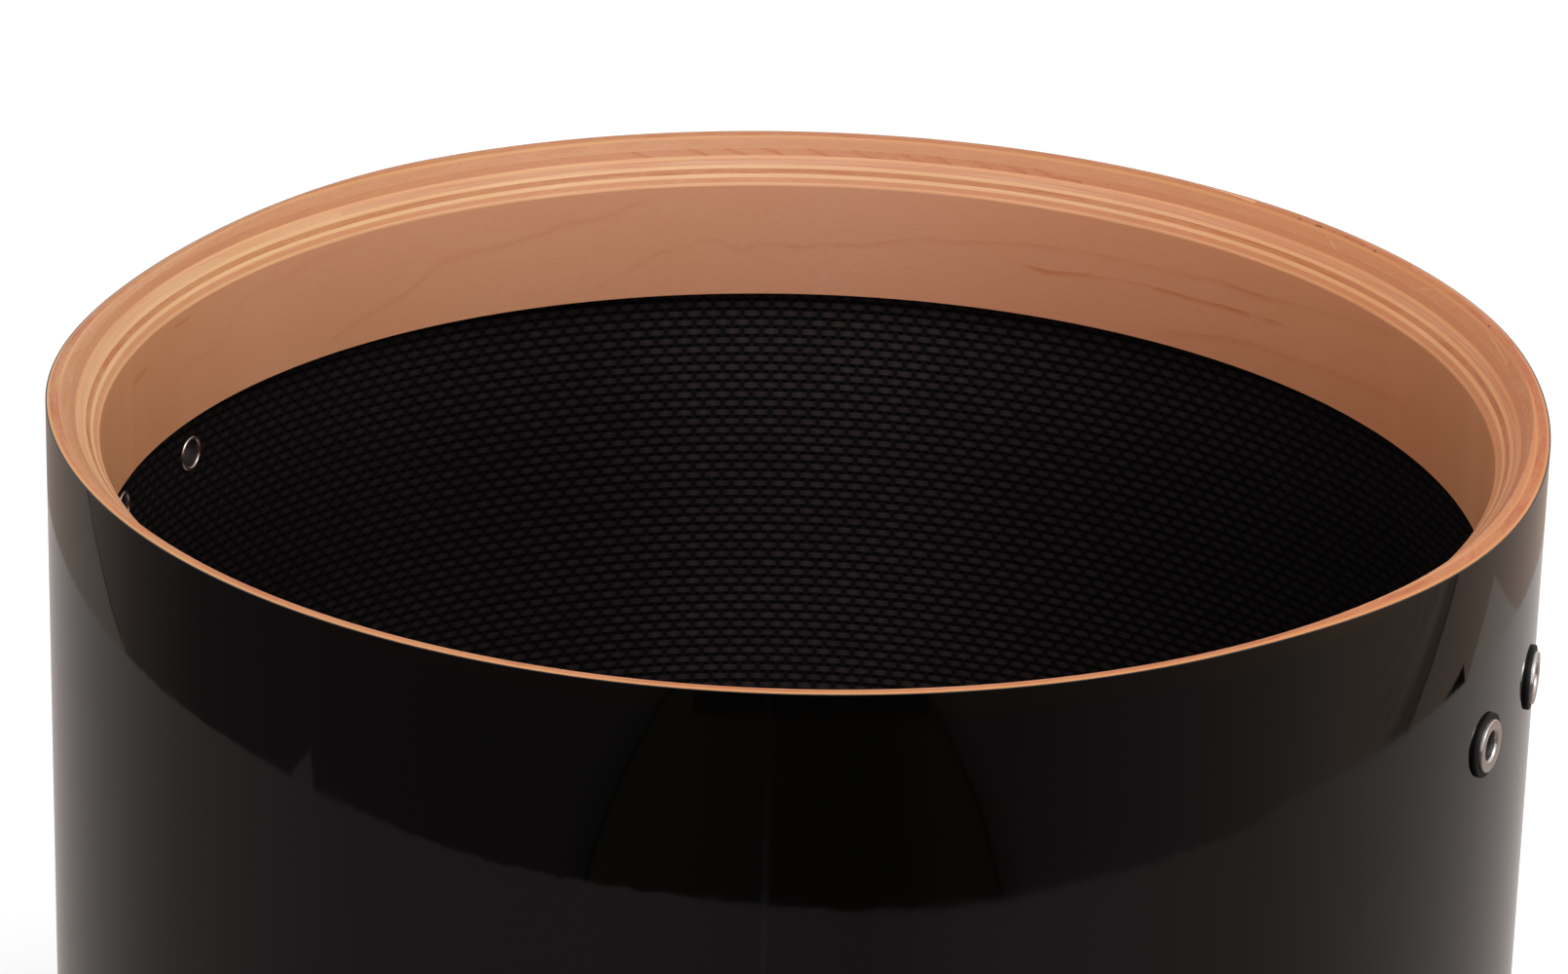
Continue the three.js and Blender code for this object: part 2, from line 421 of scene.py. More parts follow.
def set_in_wall(fitting, name, turn, height):
    """A copy of a fitting with its own mesh, turned to its bore."""
    only(fitting)
    bpy.ops.object.duplicate()
    copy = bpy.context.object
    copy.name = copy.data.name = name
    copy.rotation_euler = (0, 0, turn)
    copy.location = (0, 0, height)
    apply_place()
    return copy


def hand_over(piece, material, node):
    """Dresses a piece and puts it in the place of its solid."""
    piece.data.materials.clear()
    piece.data.materials.append(material)
    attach(piece, "root")
    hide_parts(node)


# ---------------------------------------------------------------- finishes

class Output:
    """An output of a node that can be reckoned with like a number."""

    def __init__(self, recipe, socket):
        self.recipe = recipe
        self.socket = socket

    def __add__(self, other):
        return self.recipe.calc("ADD", self, other)

    def __radd__(self, other):
        return self.recipe.calc("ADD", other, self)

    def __sub__(self, other):
        return self.recipe.calc("SUBTRACT", self, other)

    def __rsub__(self, other):
        return self.recipe.calc("SUBTRACT", other, self)

    def __mul__(self, other):
        return self.recipe.calc("MULTIPLY", self, other)

    def __truediv__(self, number):
        return self * (1 / number)

    def __abs__(self):
        return self.recipe.calc("ABSOLUTE", self)

    def scaled(self, low, high, to_low=0.0, to_high=1.0, kind="SMOOTHSTEP"):
        return self.recipe.add("ShaderNodeMapRange", "Result",
                               {"Value": self, "From Min": low, "From Max": high,
                                "To Min": to_low, "To Max": to_high}, interpolation_type=kind)

    def share(self, low, high):
        """0 at low, rising evenly to 1 at high."""
        return self.scaled(low, high, kind="LINEAR")

    def fade(self, low, high):
        """1 at low, falling to 0 at high."""
        return self.scaled(low, high, to_low=1, to_high=0)


class Recipe:
    """A material in the making. Each call adds a node and gives back its output."""

    def __init__(self, name):
        self.material = bpy.data.materials.new(name)
        self.material.use_nodes = True
        self.tree = self.material.node_tree
        self.shader = self.tree.nodes["Principled BSDF"]

    def feed(self, socket, value):
        if isinstance(value, Output):
            self.tree.links.new(value.socket, socket)
        elif hasattr(socket.default_value, "__len__") and len(socket.default_value) == 4:
            tone = value if hasattr(value, "__len__") else (value,) * 3
            socket.default_value = (*tone, 1)
        else:
            socket.default_value = value

    def outputs(self, kind, inputs, **settings):
        node = self.tree.nodes.new(kind)
        for key, value in settings.items():
            setattr(node, key, value)
        for key, value in inputs.items():
            self.feed(node.inputs[key], value)
        return node.outputs

    def add(self, kind, output, inputs, **settings):
        return Output(self, self.outputs(kind, inputs, **settings)[output])

    def calc(self, operation, *values, clamp=False):
        return self.add("ShaderNodeMath", 0, dict(enumerate(values)), operation=operation,
                        use_clamp=clamp)

    def most(self, *values):
        result = values[0]
        for value in values[1:]:
            result = self.calc("MAXIMUM", result, value)
        return result

    def span(self, first, second):
        """Length of the long side over two legs."""
        return self.calc("SQRT", first * first + second * second)

    def vector(self, x, y, z):
        return self.add("ShaderNodeCombineXYZ", 0, {"X": x, "Y": y, "Z": z})

    def place(self, turn=0):
        """Place on the object, turned about the upright axis."""
        place = self.add("ShaderNodeTexCoord", "Object", {})
        if turn:
            place = self.add("ShaderNodeMapping", 0, {"Vector": place, "Rotation": (0, 0, turn)})
        return place

    def split(self, vector):
        return [Output(self, part) for part in self.outputs("ShaderNodeSeparateXYZ", {0: vector})]

    def noise(self, place, scale=1.0, detail=3.0, roughness=0.5):
        if isinstance(place, tuple):
            place = self.vector(*place)
        return self.add("ShaderNodeTexNoise", "Fac", {"Vector": place, "Scale": scale,
                                                      "Detail": detail, "Roughness": roughness})

    def mix(self, share, first, second, blend="MIX"):
        return self.add("ShaderNodeMix", 2, {"Factor": share, 6: first, 7: second},
                        data_type="RGBA", blend_type=blend)

    def curve(self, value, points):
        node = self.tree.nodes.new("ShaderNodeFloatCurve")
        self.feed(node.inputs["Value"], value)
        line = node.mapping.curves[0]
        for index, (x, y) in enumerate(points):
            if index < 2:
                line.points[index].location = (x, y)
            else:
                line.points.new(x, y)
        node.mapping.update()
        return Output(self, node.outputs[0])

    def ramp(self, value, stops):
        node = self.tree.nodes.new("ShaderNodeValToRGB")
        self.feed(node.inputs[0], value)
        elements = node.color_ramp.elements
        elements[0].position, elements[1].position = stops[0][0], stops[-1][0]
        elements[0].color, elements[1].color = (*stops[0][1], 1), (*stops[-1][1], 1)
        for place, tone in stops[1:-1]:
            elements.new(place).color = (*tone, 1)
        return Output(self, node.outputs[0])

    def bump(self, height, distance, strength):
        return self.add("ShaderNodeBump", 0, {"Height": height, "Distance": distance,
                                              "Strength": strength})

    def stroke(self, along, radius, start, end, width):
        """A short mark from start to end, each in mm round the wall and mm of radius."""
        (a0, r0), (a1, r1) = start, end
        run_a, run_r = (a1 - a0) * MM, (r1 - r0) * MM
        size = run_a ** 2 + run_r ** 2
        from_a, from_r = along - a0 * MM, radius - r0 * MM
        share = self.calc("ADD", from_a * (run_a / size), from_r * (run_r / size), clamp=True)
        off = self.span(from_a - share * run_a, from_r - share * run_r)
        return off.fade(0.25 * width * MM, 0.75 * width * MM)

    def strokes(self, along, radius, marks):
        return self.most(*(self.stroke(along, radius, *mark) for mark in marks))

    def unrolled(self, joint):
        """Length round the opened-out wall from opposite the joint, radius and height."""
        x, y, z = self.split(self.place(math.pi - joint))
        return self.calc("ARCTAN2", y, x) * MEAN_RADIUS, self.span(x, y), z

    def finish(self, **sockets):
        for key, value in sockets.items():
            name = key.replace("_", " ").title().replace("Ior", "IOR")
            self.feed(self.shader.inputs[name], value)
        return self.material


def long_grain(recipe, along, radius):
    """Streaks of a veneer whose fibres run round the shell, from 0 to 1."""
    streaks = recipe.noise((along * 26, radius * 3400, 0), detail=5, roughness=0.6)
    return streaks.scaled(0.42, 0.62)


def cross_grain(recipe, along, radius):
    """Cut fibre ends: fine teeth across the ply with slanting cutter marks, from 0 to 1."""
    teeth = recipe.noise((along * 420, radius * 2100, 0.4), detail=4, roughness=0.65)
    slant = along * 500 + radius * 1100
    marks = recipe.noise((slant, along * 60, 2.4), detail=2, roughness=0.5)
    blotches = recipe.noise((along * 90, radius * 900, 6.2), detail=4, roughness=0.6)
    return (teeth * 0.42 + marks * 0.20 + blotches * 0.38).scaled(0.43, 0.60)


# The wall is opened out at its mean radius. Along it, the right comes first and the left last.
MEAN_RADIUS = 0.17
HALF_ROUND = 0.534

# Painted light along the opened-out wall: a painted sheen leaves the wood paler and greyer at the
# back, and painted bounce light makes it darker and more orange towards both sides.
PAINTED_LIGHT_ROUND = ((0, (0.90, 0.83, 0.70)), (0.266, (0.87, 0.70, 0.53)), (0.364, (0.90, 0.80, 0.67)),
              (0.420, (0.88, 0.80, 0.72)), (0.5, (0.93, 0.94, 0.95)), (0.580, (0.93, 0.94, 0.88)),
              (0.734, (0.93, 0.95, 0.85)), (1, (0.90, 0.83, 0.70)))


def dress_veneer(name, look, colours, inner, outer, joint):
    """Finish of one ply of the laminate, as the cut through the plies shows it."""
    looks = {"outermost": (colours.pale, colours.red, "long", 0.35),
             "pale": (colours.pale, colours.tan, "long", 0.35),
             "blond": (colours.blond, colours.tan, "long", 0.30),
             "light": (colours.light, colours.pale, "long", 0.45),
             "red": (colours.red, colours.grain, "cross", 0.26),
             "pink": (colours.pink, colours.red, "cross", 0.80),
             "routed": (colours.routed, colours.red, "cross", 0.80),
             "rose": (colours.rose, colours.tan, "long", 0.85),
             "tan": (colours.tan, colours.red, "cross", 0.75),
             "face": (colours.blond, colours.tan, "long", 0.30)}
    tone, deep, grain, strength = looks[look]
    recipe = Recipe(name)
    along, radius, height = recipe.unrolled(joint)
    across = radius.share(inner, outer)
    cut_fibres = long_grain if grain == "long" else cross_grain
    fibres = cut_fibres(recipe, along, radius)
    drift = recipe.noise((along * 11, across * 0.4, 3.7), detail=3, roughness=0.55)
    base = recipe.mix(fibres * strength, tone, deep)
    base = recipe.mix(drift.scaled(0.42, 0.66, to_high=0.40), base, deep)
    base = add_torn_edges(recipe, base, along, radius, inner, outer, grain, colours)
    if look == "pale":
        beside_core = abs(across - 0.5).scaled(0.22, 0.46)
        base = recipe.mix(beside_core * 0.55, base, colours.red)
    relief = fibres * 0.5
    if look == "red":
        base = add_lenses(recipe, base, along, across, colours)
        base = add_chips(recipe, base, along, radius, colours)
    if look == "rose":
        base = add_fine_lines(recipe, base, along, radius, colours)
    if look == "pink":
        base = add_scratches(recipe, base, along, radius, colours)
    if look == "tan":
        base = add_butted_veneer(recipe, base, along, colours)
    if look == "routed":
        base, relief = add_chatter(recipe, base, relief, along, radius, colours)
    if look == "face":
        base = add_face(recipe, base, along, radius, height, inner, colours)
    # Painted sheen at the back and painted orange bounce light at the sides, multiplied over the
    # wood.
    painted_light_round = recipe.ramp(along.share(-HALF_ROUND, HALF_ROUND), PAINTED_LIGHT_ROUND)
    base = recipe.mix(1.0, base, painted_light_round, "MULTIPLY")
    rough = fibres.scaled(0, 1, to_low=0.46, to_high=0.62)
    return recipe.finish(base_color=base, roughness=rough, specular_ior_level=0.35,
                         normal=recipe.bump(relief, 0.00005, 0.6))


def add_torn_edges(recipe, base, along, radius, inner, outer, grain, colours):
    """Fibres of the neighbouring plies dragged over both edges of a ply."""
    teeth = recipe.noise((along * 1500, 0.3, 0.7), detail=1)
    waves = recipe.noise((along * 170, radius * 400, 5.3), detail=3, roughness=0.6)
    ragged = teeth * 0.45 + waves * 0.55 - 0.5
    to_edge = recipe.calc("MINIMUM", radius - inner, outer - radius)
    torn = (to_edge - ragged * 0.00045).fade(0.00001, 0.00008)
    neighbour = colours.tan if grain == "long" else colours.pale
    return recipe.mix(torn * 0.40, base, neighbour)


def slanted_flames(recipe, along, radius, low, long_way=30):
    """Dark streaks that the cutter left across a ply, slanting with the turn of the shell."""
    slant = along - (radius - low) * 4.1
    streaks = recipe.noise((slant * 260, along * long_way, 2.5), detail=3, roughness=0.6)
    return streaks.scaled(0.50, 0.64)


def add_lenses(recipe, base, along, across, colours):
    """Long dark lenses in the red plies."""
    lens = recipe.noise((along * 42, across * 1.1, 8.0), detail=3, roughness=0.5)
    return recipe.mix(lens.scaled(0.50, 0.62, to_high=0.50), base, colours.grain)


# Marks on the cut plies, as (mm round the wall, mm of radius) at both ends, and their width in mm.
SPECKS = (((-132.3, 173.25), (-132.9, 173.28), 0.32), ((-138.1, 173.20), (-140.0, 173.34), 0.36),
          ((-144.1, 173.36), (-144.4, 173.38), 0.24), ((-148.5, 173.25), (-148.7, 173.60), 0.30),
          ((-154.5, 173.20), (-154.9, 173.22), 0.20), ((-159.3, 173.15), (-160.1, 173.18), 0.34),
          ((-214.0, 173.30), (-214.6, 173.34), 0.42))
CHIP = ((-97.0, 174.90), (-117.5, 173.75), 0.75)
CHIP_SHADE = ((-92.0, 174.55), (-113.5, 173.45), 0.45)
SCRATCHES = (((-145.0, 171.6), (-148.0, 170.62), 0.30), ((-142.8, 172.25), (-144.0, 171.9), 0.20),
             ((-233.3, 171.46), (-210.0, 172.7), 0.40), ((-185.0, 172.0), (-181.5, 171.2), 0.20),
             ((-233.3, 171.46), (-233.9, 171.5), 0.55))


def add_chips(recipe, base, along, radius, colours):
    """Dark specks, a crack and one pale chip that the cutter tore from the outer red ply."""
    base = recipe.mix(recipe.stroke(along, radius, *CHIP_SHADE) * 0.55, base, colours.grain)
    base = recipe.mix(recipe.stroke(along, radius, *CHIP) * 0.85, base, colours.light)
    specks = recipe.strokes(along, radius, SPECKS)
    return recipe.mix(specks * 0.88, base, (0.035, 0.022, 0.018))


def add_fine_lines(recipe, base, along, radius, colours):
    """Thin dark growth lines along the outermost ply of the ring, and its butt joint."""
    lines = recipe.noise((along * 9, radius * 5200, 1.6), detail=3, roughness=0.7)
    base = recipe.mix(lines.scaled(0.50, 0.60, to_high=0.55), base, colours.tan)
    past_joint = along.scaled(0.1346, 0.1350, to_high=0.35)
    return recipe.mix(past_joint, base, colours.light)


def add_scratches(recipe, base, along, radius, colours):
    """Pale scratches and a pale pin knot in the thick core ply."""
    streaks = slanted_flames(recipe, along, radius, 0.1715, 60)
    base = recipe.mix(streaks * 0.30, base, colours.red)
    scratches = recipe.strokes(along, radius, SCRATCHES)
    return recipe.mix(scratches * 0.40, base, colours.light)


def add_butted_veneer(recipe, base, along, colours):
    """A redder length of veneer butted into the fifth ply of the ring."""
    return recipe.mix(along.fade(-0.2033, -0.2029), base, recipe.mix(0.45, base, colours.red))


# Flames in the inner thick ply, as (mm round the wall, mm of radius) at both ends.
FLAMES = (((44.5, 169.15), (49.6, 170.45)), ((29.4, 169.15), (34.5, 170.45)),
          ((19.5, 169.15), (24.6, 170.45)), ((9.6, 169.15), (14.7, 170.45)),
          ((-1.8, 169.15), (3.4, 170.45)), ((-13.2, 169.15), (-8.2, 170.4)),
          ((-26.0, 169.15), (-21.0, 170.4)), ((-34.0, 169.3), (-29.5, 170.5)),
          ((-44.5, 169.4), (-40.0, 170.4)), ((-54.0, 169.4), (-49.5, 170.2)),
          ((-63.0, 169.3), (-56.0, 170.5)), ((-69.0, 169.4), (-63.0, 169.6)))


def add_chatter(recipe, base, relief, along, radius, colours):
    """Slanting flames that the cutter left in the inner thick ply, and the ply's butt joint."""
    waver = recipe.noise((along * 500, radius * 900, 0.5), detail=2)
    nearby = along + waver * 0.0016 - 0.0008
    flame = (recipe.strokes(nearby, radius, ((*ends, 0.62) for ends in FLAMES))
             * waver.scaled(0.3, 0.6, to_low=0.6))
    past_joint = along.scaled(-0.0768, -0.0764)
    wild = (slanted_flames(recipe, along, radius, 0.1692)
            * along.scaled(-0.076, 0.06, to_low=0.85, to_high=0.45))
    left_calm = along.fade(0.05, 0.14)
    before = along.fade(-0.150, -0.120) * 0.8
    where = recipe.most(past_joint * left_calm, before, 0.25)
    scorched = along.scaled(-0.070, -0.030) * along.fade(-0.020, 0.010) * waver.scaled(0.35, 0.62)
    joint = recipe.stroke(along, radius, (-76.5, 170.5), (-76.7, 169.15), 0.24)
    shaded = recipe.mix(recipe.most(wild * where, flame * 0.9), base, colours.red)
    shaded = recipe.mix(recipe.most(flame, scorched * 0.45) * 0.62, shaded, colours.grain)
    shaded = recipe.mix(joint * 0.6, shaded, colours.grain)
    return shaded, relief - flame * 0.8


# Growth lines on the ring's face, as mm round the wall and mm of height.
MAIN_LINE = ((-191, 288.8), (-176, 285.9), (-162, 283.9), (-150, 282.4), (-138, 281.2),
             (-127, 280.3), (-117, 280.5), (-106, 279.6), (-93, 279.3), (-78, 279.0),
             (-60, 278.6), (-49, 277.8), (-36, 276.6), (-27, 276.4), (-19, 274.8), (-9.5, 273.2),
             (-1, 272.9), (5.4, 272.1), (12, 273.0), (17, 272.9), (20.3, 271.5), (25, 272.9),
             (30, 274.2), (33, 273.7), (36.6, 271.8), (41.5, 271.6), (45, 269.9), (49.4, 268.1),
             (53, 266.0), (61, 262.5), (66, 260.3))
SECOND_LINE = ((-140, 275.0), (-134, 274.9), (-125.5, 274.3), (-119, 274.0), (-107, 273.5),
               (-93, 273.6), (-80, 273.2), (-69, 272.4), (-63.5, 271.9), (-60, 272.2),
               (-53, 273.4))
UPPER_LINE = ((44, 285.8), (50, 285.0), (55, 283.0), (62, 281.5), (70, 280.9), (77, 279.0),
              (90, 277.2), (105, 276.1), (109, 274.2), (116.5, 269.8), (122.5, 268.3),
              (135, 265.0), (146, 261.6))
LEFT_LINE = ((130, 286.3), (146, 285.9), (157, 284.3), (173, 283.4), (180, 280.8), (183, 277.4),
             (187, 274.7), (207, 273.4), (215, 270.2))
RIGHT_LINE = ((-197, 271.1), (-171, 269.2), (-157, 268.1), (-145, 267.1), (-123, 266.2),
              (-107, 263.8), (-94, 261.8))

# How strong the first two lines are from their right to their left part.
MAIN_STRENGTH = ((0, 0.16), (0.2, 0.22), (0.25, 0.48), (0.28, 0.25), (0.45, 0.22), (0.62, 0.32),
                 (0.80, 0.24), (1, 0.20))
SECOND_STRENGTH = ((0, 0.5), (0.08, 0.7), (0.12, 0.1), (0.15, 0.15), (0.18, 0.8), (0.30, 0.62),
                   (0.45, 0.75), (0.54, 0.30), (0.70, 0.28), (0.74, 0.60), (0.92, 0.75), (1, 0.1))

# The faint lines with the heights over which they rise and fall, and their strength.
FAINT_LINES = ((UPPER_LINE, (0.0008, 0.0022), 0.17), (LEFT_LINE, (0.0010, 0.0022), 0.10),
               (RIGHT_LINE, (0.0008, 0.0030), 0.20))
FLECKS = (((235.5, 281.0), (227.0, 281.4), 1.3), ((208.6, 286.0), (201.0, 286.1), 1.0))


def growth_line(recipe, along, height, points, wander, rise=0.00025, fall=0.0022):
    """A growth line with a crisp upper side and a stain that fades below it."""
    start, end = points[0][0] * MM, points[-1][0] * MM
    share = along.share(start, end)
    path = recipe.curve(share, [((a - points[0][0]) / (points[-1][0] - points[0][0]),
                                 (z - 255) / 40) for a, z in points])
    offset = height - path * 0.040 - 0.255 + wander
    shape = offset.fade(0, rise) * offset.scaled(-fall, 0)
    ends = along.scaled(start, start + 0.008) * along.fade(end - 0.008, end)
    return shape * ends


def add_face(recipe, base, along, radius, height, inner, colours):
    """Inner face of the ring: calm flat-cut maple with a few wandering growth lines."""
    ripple = recipe.noise((along * 110, height * 60, 2.0), detail=4, roughness=0.6)
    wander = ripple * 0.0013 - 0.00065
    broken = recipe.noise((along * 60, height * 90, 5.0), detail=3, roughness=0.6)
    shown = broken.scaled(0.34, 0.62, to_low=0.45, to_high=1)
    main = (growth_line(recipe, along, height, MAIN_LINE, wander)
            * recipe.curve(along.share(-0.2, 0.1), MAIN_STRENGTH) * shown)
    core = growth_line(recipe, along, height, MAIN_LINE, wander, 0.0002, 0.0006) * 0.16
    second = growth_line(recipe, along, height, SECOND_LINE, wander, 0.0003, 0.0019)
    parted = recipe.curve(along.share(-0.14, -0.05), SECOND_STRENGTH)
    others = recipe.most(*(growth_line(recipe, along, height, points, wander, *fades) * strength
                           for points, fades, strength in FAINT_LINES))
    flecks = recipe.strokes(along, height, FLECKS)
    lines = recipe.most(main, core, others)
    fibre = recipe.noise((along * 750, height * 2600, 0.9), detail=3, roughness=0.65)
    pores = recipe.noise((along * 260, height * 1700, 7.1), detail=2, roughness=0.6)
    streaks = recipe.noise((along * 24, height * 260, 4.4), detail=4, roughness=0.55)
    cloud = recipe.noise((along * 28, height * 50, 1.0), detail=3, roughness=0.5)
    flat = recipe.mix(fibre.scaled(0.38, 0.62, to_high=0.34), colours.face, colours.red)
    flat = recipe.mix(pores.scaled(0.50, 0.66, to_high=0.12), flat, colours.grain)
    flat = recipe.mix(streaks.scaled(0.42, 0.66, to_high=0.22), flat, colours.tan)
    flat = recipe.mix(cloud.scaled(0.38, 0.62, to_high=0.34), flat, colours.tan)
    flat = recipe.mix(lines, flat, colours.grain)
    flat = recipe.mix(second * parted, flat, colours.heart)
    flat = recipe.mix(flecks * 0.5, flat, colours.heart)
    # Painted light and shade on the face: a band on its right part is tinted paler and less
    # orange, and its left part is darkened and made more orange by painted bounce light.
    flat = recipe.mix(along.fade(-0.240, -0.185) * along.scaled(-0.53, -0.38), flat,
                      recipe.mix(0.40, flat, (0.62, 0.375, 0.24)))
    flat = recipe.mix(along.scaled(0.150, 0.235) * along.fade(0.38, 0.53), flat,
                      recipe.mix(1.0, flat, (0.92, 0.89, 0.81), "MULTIPLY"))
    on_face = radius.fade(inner + 0.00004, inner + 0.00008)
    return recipe.mix(on_face, base, flat)


def dress_covering(colours):
    """Gloss black covering with its butt joint lightened by a painted highlight, faint orange peel
    and a little dust.
    """
    recipe = Recipe("gloss_covering")
    along, radius, height = recipe.unrolled(SEAM_ANGLE + math.pi)
    around = recipe.vector(along * 160, radius * 160, height * 160)
    peel = recipe.noise(around, detail=1)
    off = abs(along)
    broken = recipe.noise((0, 0, height * 40), detail=2)
    # The butt joint is real and rougher; its lighter tone, strongest low on the wall, is a painted
    # highlight of the joint's bulge.
    joint = (off.fade(0.0002, 0.0013) * broken.scaled(0.3, 0.7, 0.5, 1)
             * height.scaled(0.245, 0.288, to_low=1, to_high=0.2))
    dust = recipe.noise(around, scale=5.5, detail=2, roughness=0.6)
    smudge = recipe.noise((along * 18, 0, height * 11), detail=4, roughness=0.55)
    base = recipe.mix(joint * 0.7, colours.covering, (0.0042, 0.0040, 0.0045))
    base = recipe.mix(dust.scaled(0.75, 0.80, to_high=0.30), base, (0.06, 0.055, 0.05))
    cut_end = radius.fade(0.17588, 0.17594)
    rough = smudge.scaled(0.35, 0.7, to_low=0.018, to_high=0.045) + joint * 0.035 + cut_end * 0.6
    normal = recipe.bump(peel, 0.00002, 0.2)
    return recipe.finish(base_color=base, roughness=rough, specular_ior_level=0.5, normal=normal)


# Painted sheen on the weave along the opened-out wall: brightest in a band at the middle of the
# back, dimmer towards both sides.
PAINTED_SHEEN_ROUND = ((0, 0.30), (0.3127, 0.24), (0.3399, 0.27), (0.3755, 0.38), (0.4110, 0.48),
        (0.4391, 0.61), (0.4654, 0.80), (0.4850, 0.94), (0.5, 0.97), (0.5262, 0.90),
        (0.5412, 0.70), (0.5609, 0.56), (0.5899, 0.48), (0.6189, 0.44), (0.6461, 0.37),
        (0.6873, 0.34), (1, 0.30))

# Painted shade on the weave by height, from 150 mm up to 260 mm: darker further below the ring,
# most at about 200 mm.
PAINTED_SHADE_UP = ((0, 0.86), (0.17, 0.86), (0.34, 0.78), (0.45, 0.745), (0.52, 0.76), (0.66, 0.83),
           (0.74, 0.92), (0.82, 1.0), (1, 1.0))


def dress_liner(colours):
    """Plain weave: weft floats, painted lighter than the dark warp as the sheen of tows that run
    round, stand over the warp, with open corners between them.
    """
    recipe = Recipe("woven_liner")
    along, _, height = recipe.unrolled(SEAM_ANGLE)
    column = along / 0.002546 - (height - 0.2) * 4.93 + 440.482
    row = height / 0.0025353 - along * 1.6 - along * along * 20.0 + 1.30
    row_number = recipe.calc("FLOOR", row)
    parity = recipe.calc("PINGPONG", row_number, 1)
    pair = (column + parity) * 0.5
    in_pair = recipe.calc("FRACT", pair) - 0.5
    in_row = recipe.calc("FRACT", row) - 0.5
    off_end = abs(in_pair)
    off_side = abs(in_row)
    float_ = off_end.fade(0.33, 0.40) * off_side.fade(0.23, 0.34)
    number = recipe.vector(recipe.calc("FLOOR", pair), row_number, 3.0)
    lot = recipe.noise(number, scale=1.71, detail=0)
    tint = recipe.noise(number, scale=2.37, detail=0)
    strands = recipe.noise((along * 420, 0, height * 5200), detail=3, roughness=0.6)
    upright = recipe.noise((along * 5200, 1, height * 420), detail=2)
    hole_u = recipe.calc("FRACT", column) - 0.5
    hole_v = recipe.calc("FRACT", row + 0.5) - 0.5
    hole = recipe.calc("SQRT", hole_u * hole_u * 12.0 + hole_v * hole_v * 25.0)
    holes = hole.fade(0.70, 1.20)
    weft = recipe.mix(tint.scaled(0.40, 0.60), colours.weft, (0.0410, 0.0300, 0.0290))
    weft = recipe.mix(off_end.scaled(0.02, 0.36), weft, (0.0245, 0.0185, 0.0198))
    # Painted highlight: each weft float is painted brighter towards one end, the end flipping
    # between the right and left parts of the wall.
    painted_float_highlight = in_pair * along.scaled(-0.05, 0.03, to_low=-0.5, to_high=0.5)
    level = (lot.scaled(0.32, 0.68, to_low=0.74, to_high=1.18, kind="LINEAR")
             * strands.scaled(0.3, 0.7, to_low=0.80, to_high=1.18, kind="LINEAR") * (painted_float_highlight + 1))
    ground = recipe.mix(upright.scaled(0.3, 0.7, to_high=0.45), colours.warp,
                        (0.0050, 0.0042, 0.0045))
    # Painted sheen: the dark warp between the floats is painted lighter grey away from the middle
    # of the back.
    painted_grazing_sheen = abs(along + 0.02).scaled(0.08, 0.19, to_high=0.22)
    ground = recipe.mix(painted_grazing_sheen, ground, (0.0250, 0.0195, 0.0200))
    base = recipe.mix(float_ * level, ground, weft)
    base = recipe.mix(holes * 0.92, base, (0.0006, 0.0005, 0.0005))
    # Painted reflection of the wooden ring with painted shade: a brown tint over the weave just
    # below the ring.
    painted_ring_reflection = height.scaled(0.2525, 0.2585, to_high=0.3)
    base = recipe.mix(painted_ring_reflection * (1 - holes), base, (0.016, 0.0115, 0.0095))
    speck = recipe.noise((along * 520, height * 520, 7.7), detail=1)
    base = recipe.mix(speck.scaled(0.855, 0.875, to_high=0.8), base, (0.30, 0.29, 0.28))
    # Painted sheen round the wall and painted shade down it, multiplied over the whole weave.
    painted_sheen_and_shade = recipe.curve(along.share(-HALF_ROUND, HALF_ROUND), PAINTED_SHEEN_ROUND)
    painted_sheen_and_shade = painted_sheen_and_shade * recipe.curve(height.share(0.150, 0.260), PAINTED_SHADE_UP)
    base = recipe.mix(1.0, base, recipe.vector(painted_sheen_and_shade, painted_sheen_and_shade, painted_sheen_and_shade), "MULTIPLY")
    crown = float_ * recipe.calc("COSINE", in_pair * 3.6)
    surface = crown + strands * 0.06 - holes * 0.5
    rough = float_.scaled(0, 1, to_low=0.70, to_high=0.55)
    return recipe.finish(base_color=base, roughness=rough, specular_ior_level=0.04,
                         normal=recipe.bump(surface, 0.00010, 0.5))


def dress_steel(colours):
    """Satin plating, a little clouded, rougher in the tube and darkened there by painted shade,
    and warmer on the rolled lip.
    """
    recipe = Recipe("bushing_steel")
    place = recipe.place()
    x, y, _ = recipe.split(place)
    radius = recipe.span(x, y)
    cloud = recipe.noise(place, scale=420, detail=2)
    grit = recipe.noise(place, scale=5200, detail=2)
    pins = recipe.noise(place, scale=1500, detail=1)
    base = recipe.mix(cloud.scaled(0.3, 0.7, to_high=0.22), colours.steel, (0.47, 0.42, 0.39))
    base = recipe.mix(pins.scaled(0.72, 0.80, to_high=0.5), base, (0.16, 0.13, 0.12))
    in_tube = radius.scaled(0.1680, 0.1686) * radius.fade(0.1758, 0.1772)
    on_lip = radius.fade(0.1680, 0.1686)
    # Painted shade: the inside of the tube is painted dark.
    base = recipe.mix(in_tube * 0.88, base, (0.075, 0.062, 0.065))
    base = recipe.mix(on_lip * 0.80, base, (0.36, 0.27, 0.22))
    rough = (cloud.scaled(0.3, 0.7, to_low=0.26, to_high=0.33)
             + grit.scaled(0.3, 0.7, to_high=0.05) + in_tube * 0.12)
    return recipe.finish(base_color=base, roughness=rough, metallic=1.0,
                         normal=recipe.bump(grit, 0.000006, 0.25))


def dress_rubber(colours):
    """Matt moulded rubber with a faint bloom."""
    recipe = Recipe("washer_rubber")
    place = recipe.place()
    grit = recipe.noise(place, scale=3000, detail=3, roughness=0.6)
    bloom = recipe.noise(place, scale=300, detail=2)
    base = recipe.mix(bloom.scaled(0.4, 0.75, to_high=0.5), colours.rubber,
                      (0.0120, 0.0105, 0.0110))
    rough = grit.scaled(0.3, 0.7, to_low=0.50, to_high=0.66)
    return recipe.finish(base_color=base, roughness=rough, specular_ior_level=0.22,
                         normal=recipe.bump(grit, 0.00002, 0.6))


